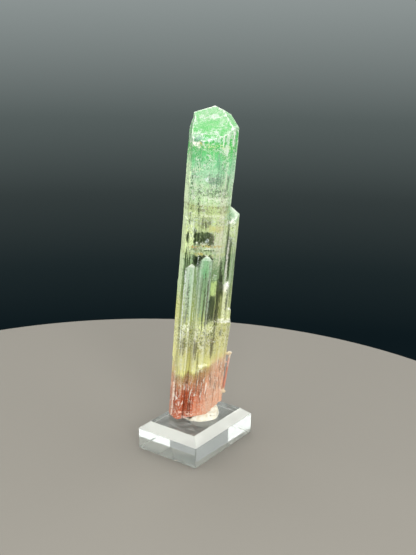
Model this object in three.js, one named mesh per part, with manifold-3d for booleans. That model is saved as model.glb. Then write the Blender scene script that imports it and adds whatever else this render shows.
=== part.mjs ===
// A zoned tourmaline crystal cluster held upright on a bevelled clear acrylic block by a pad of putty.
// Millimetres, +Z up. The origin is the centre of the block's underside.
import * as THREE from 'three';
import { ConvexGeometry } from 'three/addons/geometries/ConvexGeometry.js';
import { mergeVertices } from 'three/addons/utils/BufferGeometryUtils.js';
import Module from 'manifold-3d';

const wasm = await Module();
wasm.setup();

// Acrylic base
const BASE_SHORT = 25;
const BASE_LONG = 34;
const BASE_HEIGHT = 10;
const BEVEL_RUN = 3;
const BEVEL_DROP = 2.5;
const EDGE_BREAK = 0.25;

// Where the cluster stands on the block: its front looks towards +X -Y, and it leans to its own right
const CLUSTER_TURN = 35.6;
const CLUSTER_LEAN = 4.3;
const CLUSTER_SHIFT = -2.8;

// Main prism, in the cluster's frame: x to its right, y to its back, z along its length
const MAIN_HALF_WIDTH = 7.4;
const MAIN_APEX = [-0.25, 2.6, 108.3];
const MAIN_TAPER = 0.00133;
const MAIN_TAPER_LEVEL = 46;
const GROWTH_LINES = [60.6, 77];
const STRIATION_DEPTH = 0.16;
const STRIATION_WIDTH = 0.75;
const PLATE_COUNT = 34;

// Broken foot
const FOOT_LOW = 1.6;
const FOOT_BEND = 1.2;
const FOOT_RISE = 28;
const RIB_COUNT = 17;
const RIB_HEIGHT = 11;

// Putty
const PUTTY_RADII = [6.7, 6.5, 5.8];
const PUTTY_CENTRE = [1.3, 0.5];
const PUTTY_GAP = 0.3;

// Thin sliver beside the foot
const SLIVER_WIDTH = 0.75;

const CUTTER = 80;
const AXIS = new THREE.Vector2();
const rad = THREE.MathUtils.degToRad;

// Joining and cutting
function toSolid(geometry) {
  const bare = new THREE.BufferGeometry();
  bare.setAttribute('position', geometry.getAttribute('position').clone());
  if (geometry.index) bare.setIndex(geometry.index.clone());
  const merged = mergeVertices(bare, 1e-5);
  return new wasm.Manifold(new wasm.Mesh({
    numProp: 3,
    vertProperties: new Float32Array(merged.getAttribute('position').array),
    triVerts: new Uint32Array(merged.index.array),
  }));
}

function toGeometry(solid) {
  const mesh = solid.getMesh();
  const geometry = new THREE.BufferGeometry();
  geometry.setAttribute('position', new THREE.BufferAttribute(new Float32Array(mesh.vertProperties), 3));
  geometry.setIndex(new THREE.BufferAttribute(new Uint32Array(mesh.triVerts), 1));
  geometry.computeVertexNormals();
  return geometry;
}

// An even spread of numbers from 0 to 1 that is the same on each run
function spread(index, salt = 0) {
  const value = Math.sin(index * 12.9898 + salt * 78.233) * 43758.5453;
  return value - Math.floor(value);
}

// A prism's outline from its faces: the direction each one looks in, in degrees, and how far out it lies
function outlineFromFaces(faces, grow = 0) {
  return faces.map(([angle, out], i) => {
    const [nextAngle, nextOut] = faces[(i + 1) % faces.length];
    const [a, b] = [rad(angle), rad(nextAngle)];
    const [p, q] = [out + grow, nextOut + grow];
    const corner = new THREE.Vector2(p * Math.sin(b) - q * Math.sin(a), q * Math.cos(a) - p * Math.cos(b));
    return corner.divideScalar(Math.sin(b - a));
  });
}

// Striations: each side of the outline becomes a flight of shallow steps
function striate(outline, salt, depth = STRIATION_DEPTH, width = STRIATION_WIDTH) {
  const points = [];
  outline.forEach((start, i) => {
    const end = outline[(i + 1) % outline.length];
    const along = end.clone().sub(start);
    const length = along.length();
    const inward = new THREE.Vector2(-along.y, along.x).normalize();
    const count = Math.max(1, Math.round(length / width));
    points.push(start.clone());
    for (let k = 1; k < count; k += 1) {
      const at = (k + 0.35 * (spread(i * 17 + k, salt) - 0.5)) / count;
      const dip = depth * (0.3 + 0.7 * spread(i * 31 + k, salt + 1)) * (k % 2 ? 1 : 0.15);
      points.push(start.clone().addScaledVector(along, at).addScaledVector(inward, dip));
    }
  });
  return points;
}

// A prism along z whose outline may widen evenly with height
function prism(outline, from, to, { centre = [0, 0], taper = 0, taperLevel = 0 } = {}) {
  const geometry = new THREE.ExtrudeGeometry(new THREE.Shape(outline), {
    depth: to - from,
    bevelEnabled: false,
  });
  const position = geometry.getAttribute('position');
  for (let i = 0; i < position.count; i += 1) {
    const z = position.getZ(i) + from;
    const scale = 1 + taper * (z - taperLevel);
    position.setXYZ(i, centre[0] + position.getX(i) * scale, centre[1] + position.getY(i) * scale, z);
  }
  return geometry;
}

// Everything above a sloping face that passes through a point and falls towards its azimuth
function above(point, azimuth, slope) {
  const cutter = new THREE.BoxGeometry(CUTTER, CUTTER, CUTTER);
  cutter.translate(0, 0, CUTTER / 2);
  cutter.rotateY(rad(slope));
  cutter.rotateZ(rad(azimuth));
  cutter.translate(...point);
  return cutter;
}

// Everything below a sloping face that passes through a point and rises towards its azimuth
function below(point, azimuth, slope) {
  const cutter = new THREE.BoxGeometry(CUTTER, CUTTER, CUTTER);
  cutter.translate(0, 0, -CUTTER / 2);
  cutter.rotateY(rad(-slope));
  cutter.rotateZ(rad(azimuth));
  cutter.translate(...point);
  return cutter;
}

function cut(solid, cutters) {
  return cutters.reduce((left, cutter) => left.subtract(toSolid(cutter)), solid);
}

function join(solids) {
  return solids.reduce((all, solid) => all.add(solid));
}

// Main prism: the trigonal habit of tourmaline, broad in front and blunt behind
const MAIN_FACES = [
  [-90, 6.5], [-60, 7.2], [-30, 7.5], [0, MAIN_HALF_WIDTH], [30, 6.9], [60, 7.2],
  [90, 7.5], [120, 7.3], [150, 7.0], [180, MAIN_HALF_WIDTH], [-150, 7.4], [-120, 7.1],
];
const mainTaper = { taper: MAIN_TAPER, taperLevel: MAIN_TAPER_LEVEL };

function mainTip() {
  const [x, y, z] = MAIN_APEX;
  return [
    above(MAIN_APEX, -108, 47),
    above(MAIN_APEX, 140, 28),
    above(MAIN_APEX, 20, 25),
    above([x + 2.9, y - 2.85, z - 1.5], -33, 38),
    above([x + 5.4, y - 1, z - 2.3], 5, 56),
    leftChip(),
  ];
}

// The chipped left shoulder of the tip, seen from the front as a notch and then a curved slope
function leftChip() {
  const chip = new THREE.Shape();
  chip.moveTo(-6.2, 112);
  chip.lineTo(-6.2, 103.9);
  chip.quadraticCurveTo(-7.9, 100.6, -8.1, 94);
  chip.lineTo(-14, 94);
  chip.lineTo(-14, 112);
  const geometry = new THREE.ExtrudeGeometry(chip, { depth: 30, bevelEnabled: false, curveSegments: 5 });
  geometry.translate(0, 0, -15);
  geometry.rotateX(Math.PI / 2);
  geometry.rotateZ(rad(12));
  return geometry;
}

function mainCrystal(grow = 0) {
  const outline = outlineFromFaces(MAIN_FACES, grow);
  const levels = [-4, ...GROWTH_LINES, MAIN_APEX[2] + 2];
  if (grow) return toSolid(prism(outline, levels[0], 30, mainTaper));
  const stages = levels.slice(1).map((top, i) => {
    const stage = outlineFromFaces(MAIN_FACES, i % 2 ? -0.12 : 0);
    return toSolid(prism(striate(stage, i + 1), levels[i] - (i ? 0.05 : 0), top, mainTaper));
  });
  return cut(join([...stages, ...growthPlates()]), mainTip());
}

// Growth plates: long thin layers lying on the main prism's faces, each ending in a slanted step
function growthPlates() {
  return Array.from({ length: PLATE_COUNT }, (_, i) => {
    const [angle, out] = MAIN_FACES[(i * 5) % MAIN_FACES.length];
    const front = angle === -90;
    const middle = (front ? 2.4 : 1.5) * (2 * spread(i, 21) - 1);
    const half = (front ? 0.8 : 0.35) + 0.9 * spread(i, 22);
    const proud = (front ? 0.08 : 0.1) + (front ? 0.05 : 0.16) * spread(i, 23);
    const from = 14 + 78 * spread(i, 24);
    const length = 9 + 26 * spread(i, 25);
    const corners = [[out - 0.6, middle - half], [out + proud, middle - half * 0.86],
      [out + proud, middle + half * 0.86], [out - 0.6, middle + half]];
    const outline = corners.map(([x, y]) => new THREE.Vector2(x, y).rotateAround(AXIS, rad(angle)));
    const plate = toSolid(prism(outline, from, from + length, mainTaper));
    const edge = new THREE.Vector2(out + proud, 0).rotateAround(AXIS, rad(angle));
    return cut(plate, [
      above([edge.x, edge.y, from + length - 1.2], angle + 40 * (spread(i, 26) - 0.5), 62),
      below([edge.x, edge.y, from + 0.8], angle, 62),
    ]);
  });
}

// Side crystals: parallel to the main prism, each with its own outline and sloping tip faces
const SIDE_CRYSTALS = [
  {
    // tall neighbour behind the right side
    centre: [7.3, 2.6],
    faces: [
      [-90, 3.8], [-60, 3.75], [-30, 3.8], [0, 3.75], [60, 3.9],
      [90, 4], [120, 3.9], [180, 3.6], [-120, 3.7],
    ],
    top: 80,
    tip: [[[9, -1.2, 71.2], -100, 45], [[9.72, 2, 74.7], 20, 43], [[7.9, 4, 76.4], 140, 28]],
  },
  {
    // left one of the two front crystals
    centre: [-3.55, -6.1],
    faces: [[-90, 1.9], [-30, 1.85], [30, 1.9], [90, 2], [150, 1.9], [-150, 1.85], [-120, 1.85]],
    top: 60,
    tip: [[[-3.3, -6.9, 57.5], -100, 40], [[-3.3, -6.9, 57.5], -175, 42], [[-3.3, -6.9, 57.5], 10, 42]],
  },
  {
    // right one of the two front crystals
    centre: [0.9, -6.3],
    faces: [[-90, 2.2], [-30, 2.2], [30, 2.2], [90, 2], [150, 2.2], [-150, 2.2]],
    top: 63,
    tip: [[[1.1, -7.2, 60.8], -95, 47], [[1.1, -7.2, 60.8], 180, 45], [[1.1, -7.2, 60.8], 0, 45]],
  },
  {
    // low ledge on the front
    centre: [4.1, -4.6],
    faces: [[-90, 2.8], [-45, 3.1], [0, 3.4], [90, 3], [180, 3.4], [-135, 3.1]],
    top: 33,
    tip: [[[4.1, -5.5, 31.3], -90, 30], [[4.1, -5.5, 31.3], 180, 16], [[4.1, -5.5, 31.3], 0, 12]],
  },
  {
    // square-shouldered crystal at the lower right, widening upwards
    centre: [7, -0.5],
    faces: [[-90, 3.9], [-60, 4.2], [-30, 4.5], [0, 4.65], [60, 4], [90, 3.6], [180, 3]],
    taper: 0.0122,
    taperLevel: 35,
    top: 40,
    tip: [[[9, -2.5, 37.5], -90, 8], [[11, -2.5, 37.6], 0, 66]],
  },
  {
    // rough step beside the right front crystal
    centre: [3.9, -5.2],
    faces: [[-90, 1.55], [0, 1.3], [90, 1.4], [180, 1.4]],
    bottom: 47,
    top: 54,
    tip: [[[3.9, -6.7, 52.6], -90, 60]],
  },
  {
    // small blunt tip on the neighbour's front
    centre: [8.7, -1.3],
    faces: [[-90, 1.2], [-30, 1.15], [30, 1.1], [90, 1.1], [150, 1.1], [-150, 1.15]],
    top: 52,
    tip: [[[8.7, -1.6, 50.3], -90, 38], [[8.7, -1.6, 50.3], 180, 30], [[8.7, -1.6, 50.3], 20, 25]],
  },
  {
    // tiny tip on the right edge
    centre: [10.5, -0.9],
    faces: [[-90, 0.65], [-30, 0.65], [30, 0.65], [90, 0.65], [150, 0.65], [-150, 0.65]],
    top: 43,
    tip: [[[10.4, -1, 41.5], -90, 40], [[10.4, -1, 41.5], 0, 40], [[10.4, -1, 41.5], 180, 30]],
  },
];

function sideCrystal(spec, index, grow = 0) {
  const { centre, faces, taper = 0, taperLevel = 0, bottom = -4, top, tip } = spec;
  const outline = outlineFromFaces(faces, grow);
  const small = Math.min(...faces.map((face) => face[1])) < 1.5;
  const sides = grow || small ? outline : striate(outline, index + 11, STRIATION_DEPTH * 0.7, 0.8);
  const body = toSolid(prism(sides, bottom, top, { centre, taper, taperLevel }));
  return cut(body, tip.map(([point, azimuth, slope]) => above(point, azimuth, slope)));
}

// Ribs of the pink foot: a row of thin parallel crystals half sunk in the front and right sides
const RIB_FRONT = new THREE.CatmullRomCurve3([
  [-6.3, -3.6], [-4.9, -6.5], [-3.4, -7.6], [-1.4, -7.1], [0.9, -8.0],
  [3.1, -7.1], [5.4, -6.3], [7.4, -4.1], [9.0, -2.6], [9.8, -0.6],
].map(([x, y]) => new THREE.Vector3(x, y, 0)));

function footRibs(grow = 0) {
  return Array.from({ length: RIB_COUNT }, (_, i) => {
    const at = RIB_FRONT.getPointAt((i + 0.5 + 0.4 * (spread(i, 3) - 0.5)) / RIB_COUNT);
    const half = 0.5 + 0.35 * spread(i, 4);
    const top = RIB_HEIGHT + 9 * spread(i, 5);
    const turn = 25 * spread(i, 6);
    const faces = [0, 60, 120, 180, 240, 300].map((angle) => [angle + turn, half]);
    const rib = toSolid(prism(outlineFromFaces(faces, grow), -4, top + 2, { centre: [at.x, at.y] }));
    return cut(rib, [above([at.x, at.y - half, top], -90 + 60 * (spread(i, 7) - 0.5), 74)]);
  });
}

// Broken foot: nearly level at the left, then rising to the right, with a split front lip
function footCutters(drop = 0) {
  return [
    below([0, 0, FOOT_LOW - drop - 1], 0, 2),
    below([FOOT_BEND, 0, FOOT_LOW - drop], 0, FOOT_RISE),
    below([-5.2, -6, FOOT_LOW - drop], 215, 24),
    below([4, -7.2, FOOT_LOW + 1.9 - drop], -60, 30),
  ];
}

// Two short splits that run level across the front of the foot
function footSplits() {
  return [[-1.9, -8.2, 3.3, 2.9, 4], [-1.1, -8.5, 5, 2.2, -3]].map(([x, y, z, half, tilt]) => {
    const split = new THREE.BoxGeometry(half * 2, 0.75, 0.5);
    split.rotateX(rad(45));
    split.rotateY(rad(tilt));
    split.translate(x, y, z);
    return split;
  });
}

// Thin sliver: stands off the right side of the foot, joined to it by a knob at each end
function sliver() {
  const path = new THREE.LineCurve3(new THREE.Vector3(11.4, -1, 10.4), new THREE.Vector3(12.5, -1, 25.2));
  const half = SLIVER_WIDTH / 2;
  const section = new THREE.Shape([
    new THREE.Vector2(-half, -half * 0.3),
    new THREE.Vector2(-half * 0.2, -half),
    new THREE.Vector2(half, -half * 0.5),
    new THREE.Vector2(half * 0.7, half * 0.8),
    new THREE.Vector2(-half * 0.6, half * 0.8),
  ]);
  const along = { steps: 1, extrudePath: path, bevelEnabled: false };
  const blade = toSolid(new THREE.ExtrudeGeometry(section, along));
  const knobs = [
    [[12.1, -1, 24.9], [1.15, 0.55, 0.75], -18],
    [[10.9, -1, 10.7], [1.5, 0.7, 0.8], 15],
    [[11.5, -1, 21.6], [1.15, 0.28, 0.24], 0],
  ].map(([centre, radii, tilt]) => {
    const knob = new THREE.IcosahedronGeometry(1, 1);
    knob.scale(...radii);
    knob.rotateY(rad(tilt));
    knob.translate(...centre);
    return toSolid(knob);
  });
  return join([blade, ...knobs]);
}

function tourmaline() {
  const body = join([
    mainCrystal(),
    ...SIDE_CRYSTALS.map((spec, index) => sideCrystal(spec, index)),
    ...footRibs(),
  ]);
  return cut(body, [...footCutters(), ...footSplits()]).add(sliver());
}

// Putty: a pressed lump, flat on the block and shaped above by the foot that sinks into it
function puttyLump() {
  const lump = new THREE.SphereGeometry(1, 44, 26);
  const position = lump.getAttribute('position');
  const point = new THREE.Vector3();
  for (let i = 0; i < position.count; i += 1) {
    point.fromBufferAttribute(position, i);
    const bump = 0.035 * Math.sin(5 * point.x + 1) * Math.cos(4 * point.y + 2)
      + 0.022 * Math.sin(9 * point.y + 3 * point.z) + 0.018 * Math.cos(11 * point.x - 6 * point.y);
    point.multiplyScalar(1 + bump);
    position.setXYZ(i, point.x * PUTTY_RADII[0], point.y * PUTTY_RADII[1], point.z * PUTTY_RADII[2]);
  }
  lump.translate(...PUTTY_CENTRE, BASE_HEIGHT);
  lump.rotateZ(rad(CLUSTER_TURN));
  return lump;
}

function putty(clusterMatrix) {
  const socketParts = [
    mainCrystal(PUTTY_GAP),
    ...SIDE_CRYSTALS.map((spec, index) => sideCrystal(spec, index, PUTTY_GAP)),
    ...footRibs(PUTTY_GAP),
  ];
  const socket = toGeometry(cut(join(socketParts), footCutters(PUTTY_GAP * 1.15)));
  socket.applyMatrix4(clusterMatrix);
  const underside = new THREE.BoxGeometry(CUTTER, CUTTER, CUTTER);
  underside.translate(0, 0, BASE_HEIGHT - CUTTER / 2);
  return cut(toSolid(puttyLump()), [socket, underside]);
}

// Acrylic block: bevelled top, with a hairline break along its lower and upright edges
function acrylicBase() {
  const ring = (inset, corner, z) => {
    const x = BASE_SHORT / 2 - inset;
    const y = BASE_LONG / 2 - inset;
    const rows = [[x - corner, y], [x, y - corner]];
    return rows.flatMap(([px, py]) => [
      [px, py], [-px, py], [px, -py], [-px, -py],
    ].map(([a, b]) => new THREE.Vector3(a, b, z)));
  };
  return new ConvexGeometry([
    ...ring(EDGE_BREAK, EDGE_BREAK, 0),
    ...ring(0, EDGE_BREAK, EDGE_BREAK),
    ...ring(0, EDGE_BREAK, BASE_HEIGHT - BEVEL_DROP),
    ...ring(BEVEL_RUN, EDGE_BREAK, BASE_HEIGHT),
  ]);
}

// Assembly
const clusterStand = new THREE.Group();
clusterStand.rotation.z = rad(CLUSTER_TURN);
const clusterAxis = new THREE.Group();
clusterAxis.position.set(CLUSTER_SHIFT, 0, BASE_HEIGHT);
clusterAxis.rotation.y = rad(CLUSTER_LEAN);
clusterStand.add(clusterAxis);
clusterStand.updateMatrixWorld(true);

function piece(name, solid, material) {
  const mesh = new THREE.Mesh(toGeometry(solid), new THREE.MeshStandardMaterial(material));
  mesh.name = name;
  return mesh;
}

clusterAxis.add(piece('tourmaline_crystal', tourmaline(), {
  color: 0xa8cf9c,
  roughness: 0.12,
  metalness: 0,
  transparent: true,
  opacity: 0.75,
}));

const pad = piece('mounting_putty', putty(clusterAxis.matrixWorld), {
  color: 0xe3dcc8,
  roughness: 0.85,
  metalness: 0,
});

const base = piece('acrylic_base', toSolid(acrylicBase()), {
  color: 0xf1f6f4,
  roughness: 0.04,
  metalness: 0,
  transparent: true,
  opacity: 0.35,
});

const part = new THREE.Group();
part.add(base, pad, clusterStand);

export default part;
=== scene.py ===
import math

import bmesh
import bpy
from mathutils import Matrix, Vector, noise


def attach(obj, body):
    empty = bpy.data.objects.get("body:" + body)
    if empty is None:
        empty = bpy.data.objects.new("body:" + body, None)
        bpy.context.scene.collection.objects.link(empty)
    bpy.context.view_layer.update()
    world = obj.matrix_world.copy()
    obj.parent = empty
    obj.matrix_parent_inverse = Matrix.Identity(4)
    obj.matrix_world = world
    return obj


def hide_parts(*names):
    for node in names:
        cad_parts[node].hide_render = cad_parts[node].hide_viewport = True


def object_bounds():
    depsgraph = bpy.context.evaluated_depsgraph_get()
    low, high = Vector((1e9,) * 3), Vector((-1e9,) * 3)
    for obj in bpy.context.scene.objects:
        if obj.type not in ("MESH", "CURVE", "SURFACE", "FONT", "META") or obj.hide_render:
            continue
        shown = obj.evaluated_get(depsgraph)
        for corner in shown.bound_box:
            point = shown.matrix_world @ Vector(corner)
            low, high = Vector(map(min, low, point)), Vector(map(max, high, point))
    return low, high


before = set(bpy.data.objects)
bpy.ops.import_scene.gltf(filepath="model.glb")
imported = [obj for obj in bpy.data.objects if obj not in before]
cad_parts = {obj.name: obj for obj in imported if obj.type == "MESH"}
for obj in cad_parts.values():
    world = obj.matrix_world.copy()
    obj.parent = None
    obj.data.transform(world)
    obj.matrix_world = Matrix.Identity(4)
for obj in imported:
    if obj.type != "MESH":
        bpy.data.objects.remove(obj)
cad_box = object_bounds()
scene = bpy.context.scene

MM = 0.001

# Camera: a phone at its longer focal length, a little above the specimen, in mm, degrees and photo pixels
IMAGE_HEIGHT = 555
FOCAL_PIXELS = 834
SENSOR = 36
CAMERA_PLACE = Vector((160.5, -218.3, 141.8))
CAMERA_AZIMUTH = 35.58
CAMERA_DROP = 16.62
CAMERA_ROLL = 0.82

# Softboxes: bearing from the line of sight and elevation in degrees, distance, width and height in metres,
# radiance, tint
SOFTBOXES = {
    "left_softbox": (-108, 30, 0.8, 1.2, 0.8, 1.25, (1.0, 1.0, 0.98)),
    "right_softbox": (82, 30, 0.8, 1.2, 0.8, 1.25, (1.0, 1.0, 0.98)),
    "top_softbox": (-20, 62, 0.7, 0.4, 0.3, 3, (1.0, 0.99, 0.96)),
    "front_fill": (170, 20, 0.8, 0.5, 0.4, 10, (1.0, 0.99, 0.97)),
}
LIGHT_TARGET = Vector((0, 0, 0.05))

# sRGB of the surroundings by the sine of their elevation, and how often light may bounce
BACKDROP = [
    (-0.34, (14, 25, 29)),
    (-0.27, (30, 40, 42)),
    (-0.19, (53, 61, 61)),
    (-0.10, (86, 95, 94)),
    (0.03, (140, 148, 147)),
    (0.42, (158, 160, 160)),
    (0.80, (204, 205, 205)),
]
BOUNCES = 28

# Floor: a disc, in mm
FLOOR_CENTRE = (1.2, -36)
FLOOR_RADIUS = 160
FLOOR_THICKNESS = 20
FLOOR_GAP = 0.2
FLOOR_SIDES = 128
FLOOR_TONE = (138, 134, 126)
FLOOR_ROUGHNESS = 0.9


def turned(degrees, axis):
    return Matrix.Rotation(math.radians(degrees), 4, axis)


# Cluster axis, as the solids hold it
BASE_HEIGHT = 10
CLUSTER_TURN = 35.6
CLUSTER_SHIFT = -2.8
CLUSTER_LEAN = 4.3
CLUSTER = (
    turned(CLUSTER_TURN, "Z")
    @ Matrix.Translation((CLUSTER_SHIFT, 0, BASE_HEIGHT))
    @ turned(CLUSTER_LEAN, "Y")
)
TO_CLUSTER = CLUSTER.inverted()

# Heights along the cluster, in mm: where the pink foot ends, the step at the tops of the two front
# crystals, the start of the tip
FOOT_TOP = 19
STEP = 58
TIP = 97

# Upper and lower end of the splinter beside the foot, across and along the cluster; how far back it stands,
# its half thickness, how far in from that line it reaches, and the slack at its ends
SPLINTER = ((12.5, 25.2), (11.4, 10.4))
SPLINTER_DEPTH = -1
SPLINTER_HALF = 0.8
SPLINTER_REACH = 0.6
SPLINTER_SLACK = 1

# How the two crystals that stand proud of the front widen: old middle, new middle, reach, top, growth; the
# depth and the height they start from
TWIN_GROWTH = [(0.9, 1.3, 2.4, 61.5, 1.36), (-3.55, -3.7, 2.0, 58.4, 1.25)]
TWIN_FACE = -7.45
TWIN_FOOT = 21

# Meshes, in mm and degrees: points joined, points taken as on a plane, faces taken as flat, creases kept
# sharp, and the first, last and step of the slices
JOINED = 0.002
ON_PLANE = 0.005
FLAT_ANGLE = 0.8
CRYSTAL_CREASE = 14
CRYSTAL_SLICES = (0.4, 109, 0.6)
TIP_SLICES = (-9, 9, 0.8)
PUTTY_CREASE = 40
PUTTY_SLICES = (BASE_HEIGHT + 0.4, BASE_HEIGHT + 7, 0.4)

# Relief of the crystal and of the putty: waves per mm and heights in mm, and the share of the striations
# that is lost over the step
STRIA_WAVES = (2.1, 2.1, 0.04)
STRIA_HEIGHT = 0.04
STRIA_LOSS = 0.6
ROUGH_WAVES = 0.9
ROUGH_HEIGHT = 0.02
ROUGH_AT_ENDS = 0.05
LUMP_WAVES = 0.35
LUMP_HEIGHT = 0.9
DENT_WAVES = 1.3
DENT_HEIGHT = 0.12
PUTTY_BULGE = 0.2
PUTTY_RISE = 0.8

# Painted highlights on sharp edges, white where the edges would catch light: the turn in degrees at which
# one starts and is full, the lowest height, the lean of an end face, the steepness of a ridge of the tip and
# of an upright edge, where the front crystals and the side crystals start, and how white each kind of edge
# is
RIM_TURN = (18, 38)
RIM_LOWEST = 20
END_FACE = 0.12
TIP_RIDGE = 0.35
UPRIGHT = 0.9
FRONT_CRYSTALS = -7.6
SIDE_CRYSTALS = 7.7
TIP_FOLD_RIM = 0.12
FRONT_RIM = 0.4
UPRIGHT_RIM = 0.35
SIDE_RIM = 0.9


def srgb(red, green, blue):
    def linear(value):
        value /= 255
        return value / 12.92 if value <= 0.04045 else ((value + 0.055) / 1.055) ** 2.4
    return (linear(red), linear(green), linear(blue), 1)


def rise(value, low, high):
    """0 at low and before it, 1 at high and past it, even between; low may be the greater."""
    return min(max((value - low) / (high - low), 0), 1)


# Camera

def make_camera():
    data = bpy.data.cameras.new("camera")
    data.sensor_fit = "VERTICAL"
    data.sensor_height = SENSOR
    data.lens = FOCAL_PIXELS / IMAGE_HEIGHT * SENSOR
    camera = bpy.data.objects.new("camera", data)
    scene.collection.objects.link(camera)
    aim = turned(CAMERA_AZIMUTH, "Z") @ turned(90 - CAMERA_DROP, "X") @ turned(CAMERA_ROLL, "Z")
    camera.matrix_world = Matrix.Translation(CAMERA_PLACE * MM) @ aim
    scene.camera = camera


# Lights and surroundings

def bearing(azimuth, elevation, distance):
    """A place around the specimen; azimuth 0 lies straight behind it, seen from the camera."""
    side = math.radians(azimuth - CAMERA_AZIMUTH)
    up = math.radians(elevation)
    level = math.cos(up) * distance
    return Vector((math.sin(side) * level, math.cos(side) * level, math.sin(up) * distance))


def softbox(name, azimuth, elevation, distance, width, height, radiance, tint):
    data = bpy.data.lights.new(name, "AREA")
    data.shape = "RECTANGLE"
    data.size = width
    data.size_y = height
    data.energy = radiance * math.pi * width * height
    data.color = tint
    lamp = bpy.data.objects.new(name, data)
    scene.collection.objects.link(lamp)
    place = LIGHT_TARGET + bearing(azimuth, elevation, distance)
    lamp.location = place
    lamp.rotation_euler = (LIGHT_TARGET - place).to_track_quat("-Z", "Y").to_euler()
    lamp.visible_camera = False


def make_surroundings():
    """A world that is dark low down and pale above, as the backdrop in the photograph."""
    world = bpy.data.worlds.new("studio")
    world.use_nodes = True
    nodes, links = world.node_tree.nodes, world.node_tree.links
    coords = nodes.new("ShaderNodeTexCoord")
    split = nodes.new("ShaderNodeSeparateXYZ")
    level = nodes.new("ShaderNodeMapRange")
    ramp = nodes.new("ShaderNodeValToRGB")
    level.inputs["From Min"].default_value = -1
    links.new(coords.outputs["Generated"], split.inputs["Vector"])
    links.new(split.outputs["Z"], level.inputs["Value"])
    links.new(level.outputs["Result"], ramp.inputs["Fac"])
    links.new(ramp.outputs["Color"], nodes["Background"].inputs["Color"])
    fill_ramp(ramp, [((sine + 1) / 2, srgb(*tone)) for sine, tone in BACKDROP])
    scene.world = world


def let_light_through():
    """Enough bounces for the clear pieces, shown with plain colours."""
    scene.cycles.max_bounces = BOUNCES
    scene.cycles.transmission_bounces = BOUNCES
    scene.cycles.glossy_bounces = BOUNCES
    scene.view_settings.view_transform = "Standard"


# Node trees, written as short sums

# Fade of a patch's edge, as a share of its softness
PATCH_EDGE = 0.4


def fill_ramp(node, stops):
    elements = node.color_ramp.elements
    while len(elements) < len(stops):
        elements.new(0.5)
    for element, (place, colour) in zip(elements, stops):
        element.position = place
        element.color = colour


class Tree:
    def __init__(self, name):
        self.material = bpy.data.materials.new(name)
        self.material.use_nodes = True
        self.nodes = self.material.node_tree.nodes
        self.links = self.material.node_tree.links
        self.shader = self.nodes["Principled BSDF"]

    def feed(self, socket, value):
        if isinstance(value, bpy.types.NodeSocket):
            self.links.new(value, socket)
        else:
            socket.default_value = value

    def fill(self, node, **inputs):
        """Feeds inputs by name, with an underscore for each space."""
        for key, value in inputs.items():
            self.feed(node.inputs[key.replace("_", " ")], value)
        return node

    def add(self, kind, **inputs):
        return self.fill(self.nodes.new(kind), **inputs)

    def finish(self, **inputs):
        self.fill(self.shader, **inputs)
        return self.material

    def math(self, operation, *values):
        node = self.nodes.new("ShaderNodeMath")
        node.operation = operation
        for socket, value in zip(node.inputs, values):
            self.feed(socket, value)
        return node.outputs[0]

    def plus(self, a, b):
        return self.math("ADD", a, b)

    def times(self, a, b):
        return self.math("MULTIPLY", a, b)

    def smooth(self, value, low, high, start=0.0, end=1.0):
        """Goes softly from start to end as the value goes from low to high."""
        node = self.nodes.new("ShaderNodeMapRange")
        node.interpolation_type = "SMOOTHSTEP"
        node.clamp = False
        self.fill(node, Value=value, From_Min=low, From_Max=high, To_Min=start, To_Max=end)
        return node.outputs["Result"]

    def mix(self, share, a, b, blend="MIX"):
        """Mixes two colours."""
        node = self.nodes.new("ShaderNodeMix")
        node.data_type = "RGBA"
        node.blend_type = blend
        self.feed(node.inputs[0], share)
        self.feed(node.inputs[6], a)
        self.feed(node.inputs[7], b)
        return node.outputs[2]

    def mix_numbers(self, share, a, b):
        node = self.nodes.new("ShaderNodeMix")
        self.feed(node.inputs[0], share)
        self.feed(node.inputs[2], a)
        self.feed(node.inputs[3], b)
        return node.outputs[0]

    def ramp(self, value, stops):
        node = self.nodes.new("ShaderNodeValToRGB")
        fill_ramp(node, stops)
        self.feed(node.inputs["Fac"], value)
        return node.outputs["Color"]

    def attribute(self, name):
        node = self.nodes.new("ShaderNodeAttribute")
        node.attribute_name = name
        return node.outputs["Fac"]

    def vector(self, operation, *values):
        node = self.nodes.new("ShaderNodeVectorMath")
        node.operation = operation
        for socket, value in zip(node.inputs, values):
            self.feed(socket, value)
        return node

    def stretched(self, vector, scale):
        return self.vector("MULTIPLY", vector, scale).outputs["Vector"]

    def place(self, matrix):
        """Object coordinates in millimetres, in another frame."""
        coords = self.nodes.new("ShaderNodeTexCoord")
        turn = self.nodes.new("ShaderNodeMapping")
        turn.inputs["Location"].default_value = matrix.to_translation() * MM
        turn.inputs["Rotation"].default_value = matrix.to_euler()
        self.links.new(coords.outputs["Object"], turn.inputs["Vector"])
        return self.stretched(turn.outputs["Vector"], (1 / MM,) * 3)

    def noise(self, vector, scale, detail, roughness=0.5):
        node = self.add("ShaderNodeTexNoise", Vector=vector, Scale=scale, Detail=detail)
        return self.fill(node, Roughness=roughness).outputs["Fac"]

    def cell_walls(self, vector):
        """How far the nearest wall between cells is."""
        node = self.add("ShaderNodeTexVoronoi", Vector=vector, Scale=1.0)
        node.feature = "DISTANCE_TO_EDGE"
        return node.outputs["Distance"]

    def bump(self, height, distance):
        return self.add("ShaderNodeBump", Height=height, Distance=distance * MM).outputs["Normal"]

    def patch(self, point, ragged, centre, half, soft):
        """A mask that is one inside a ragged, rounded box."""
        away = self.vector("SUBTRACT", point, centre).outputs["Vector"]
        shares = self.stretched(away, [1 / side for side in half])
        squares = self.vector("MULTIPLY", shares, shares).outputs["Vector"]
        reach = self.math("SQRT", self.vector("LENGTH", squares).outputs["Value"])
        least = min(half[0], half[2])
        edge = self.math("MULTIPLY_ADD", reach, -least, least)
        inside = self.math("MULTIPLY_ADD", ragged, soft, edge)
        return self.smooth(inside, -PATCH_EDGE * soft, PATCH_EDGE * soft)


# Tourmaline

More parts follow.
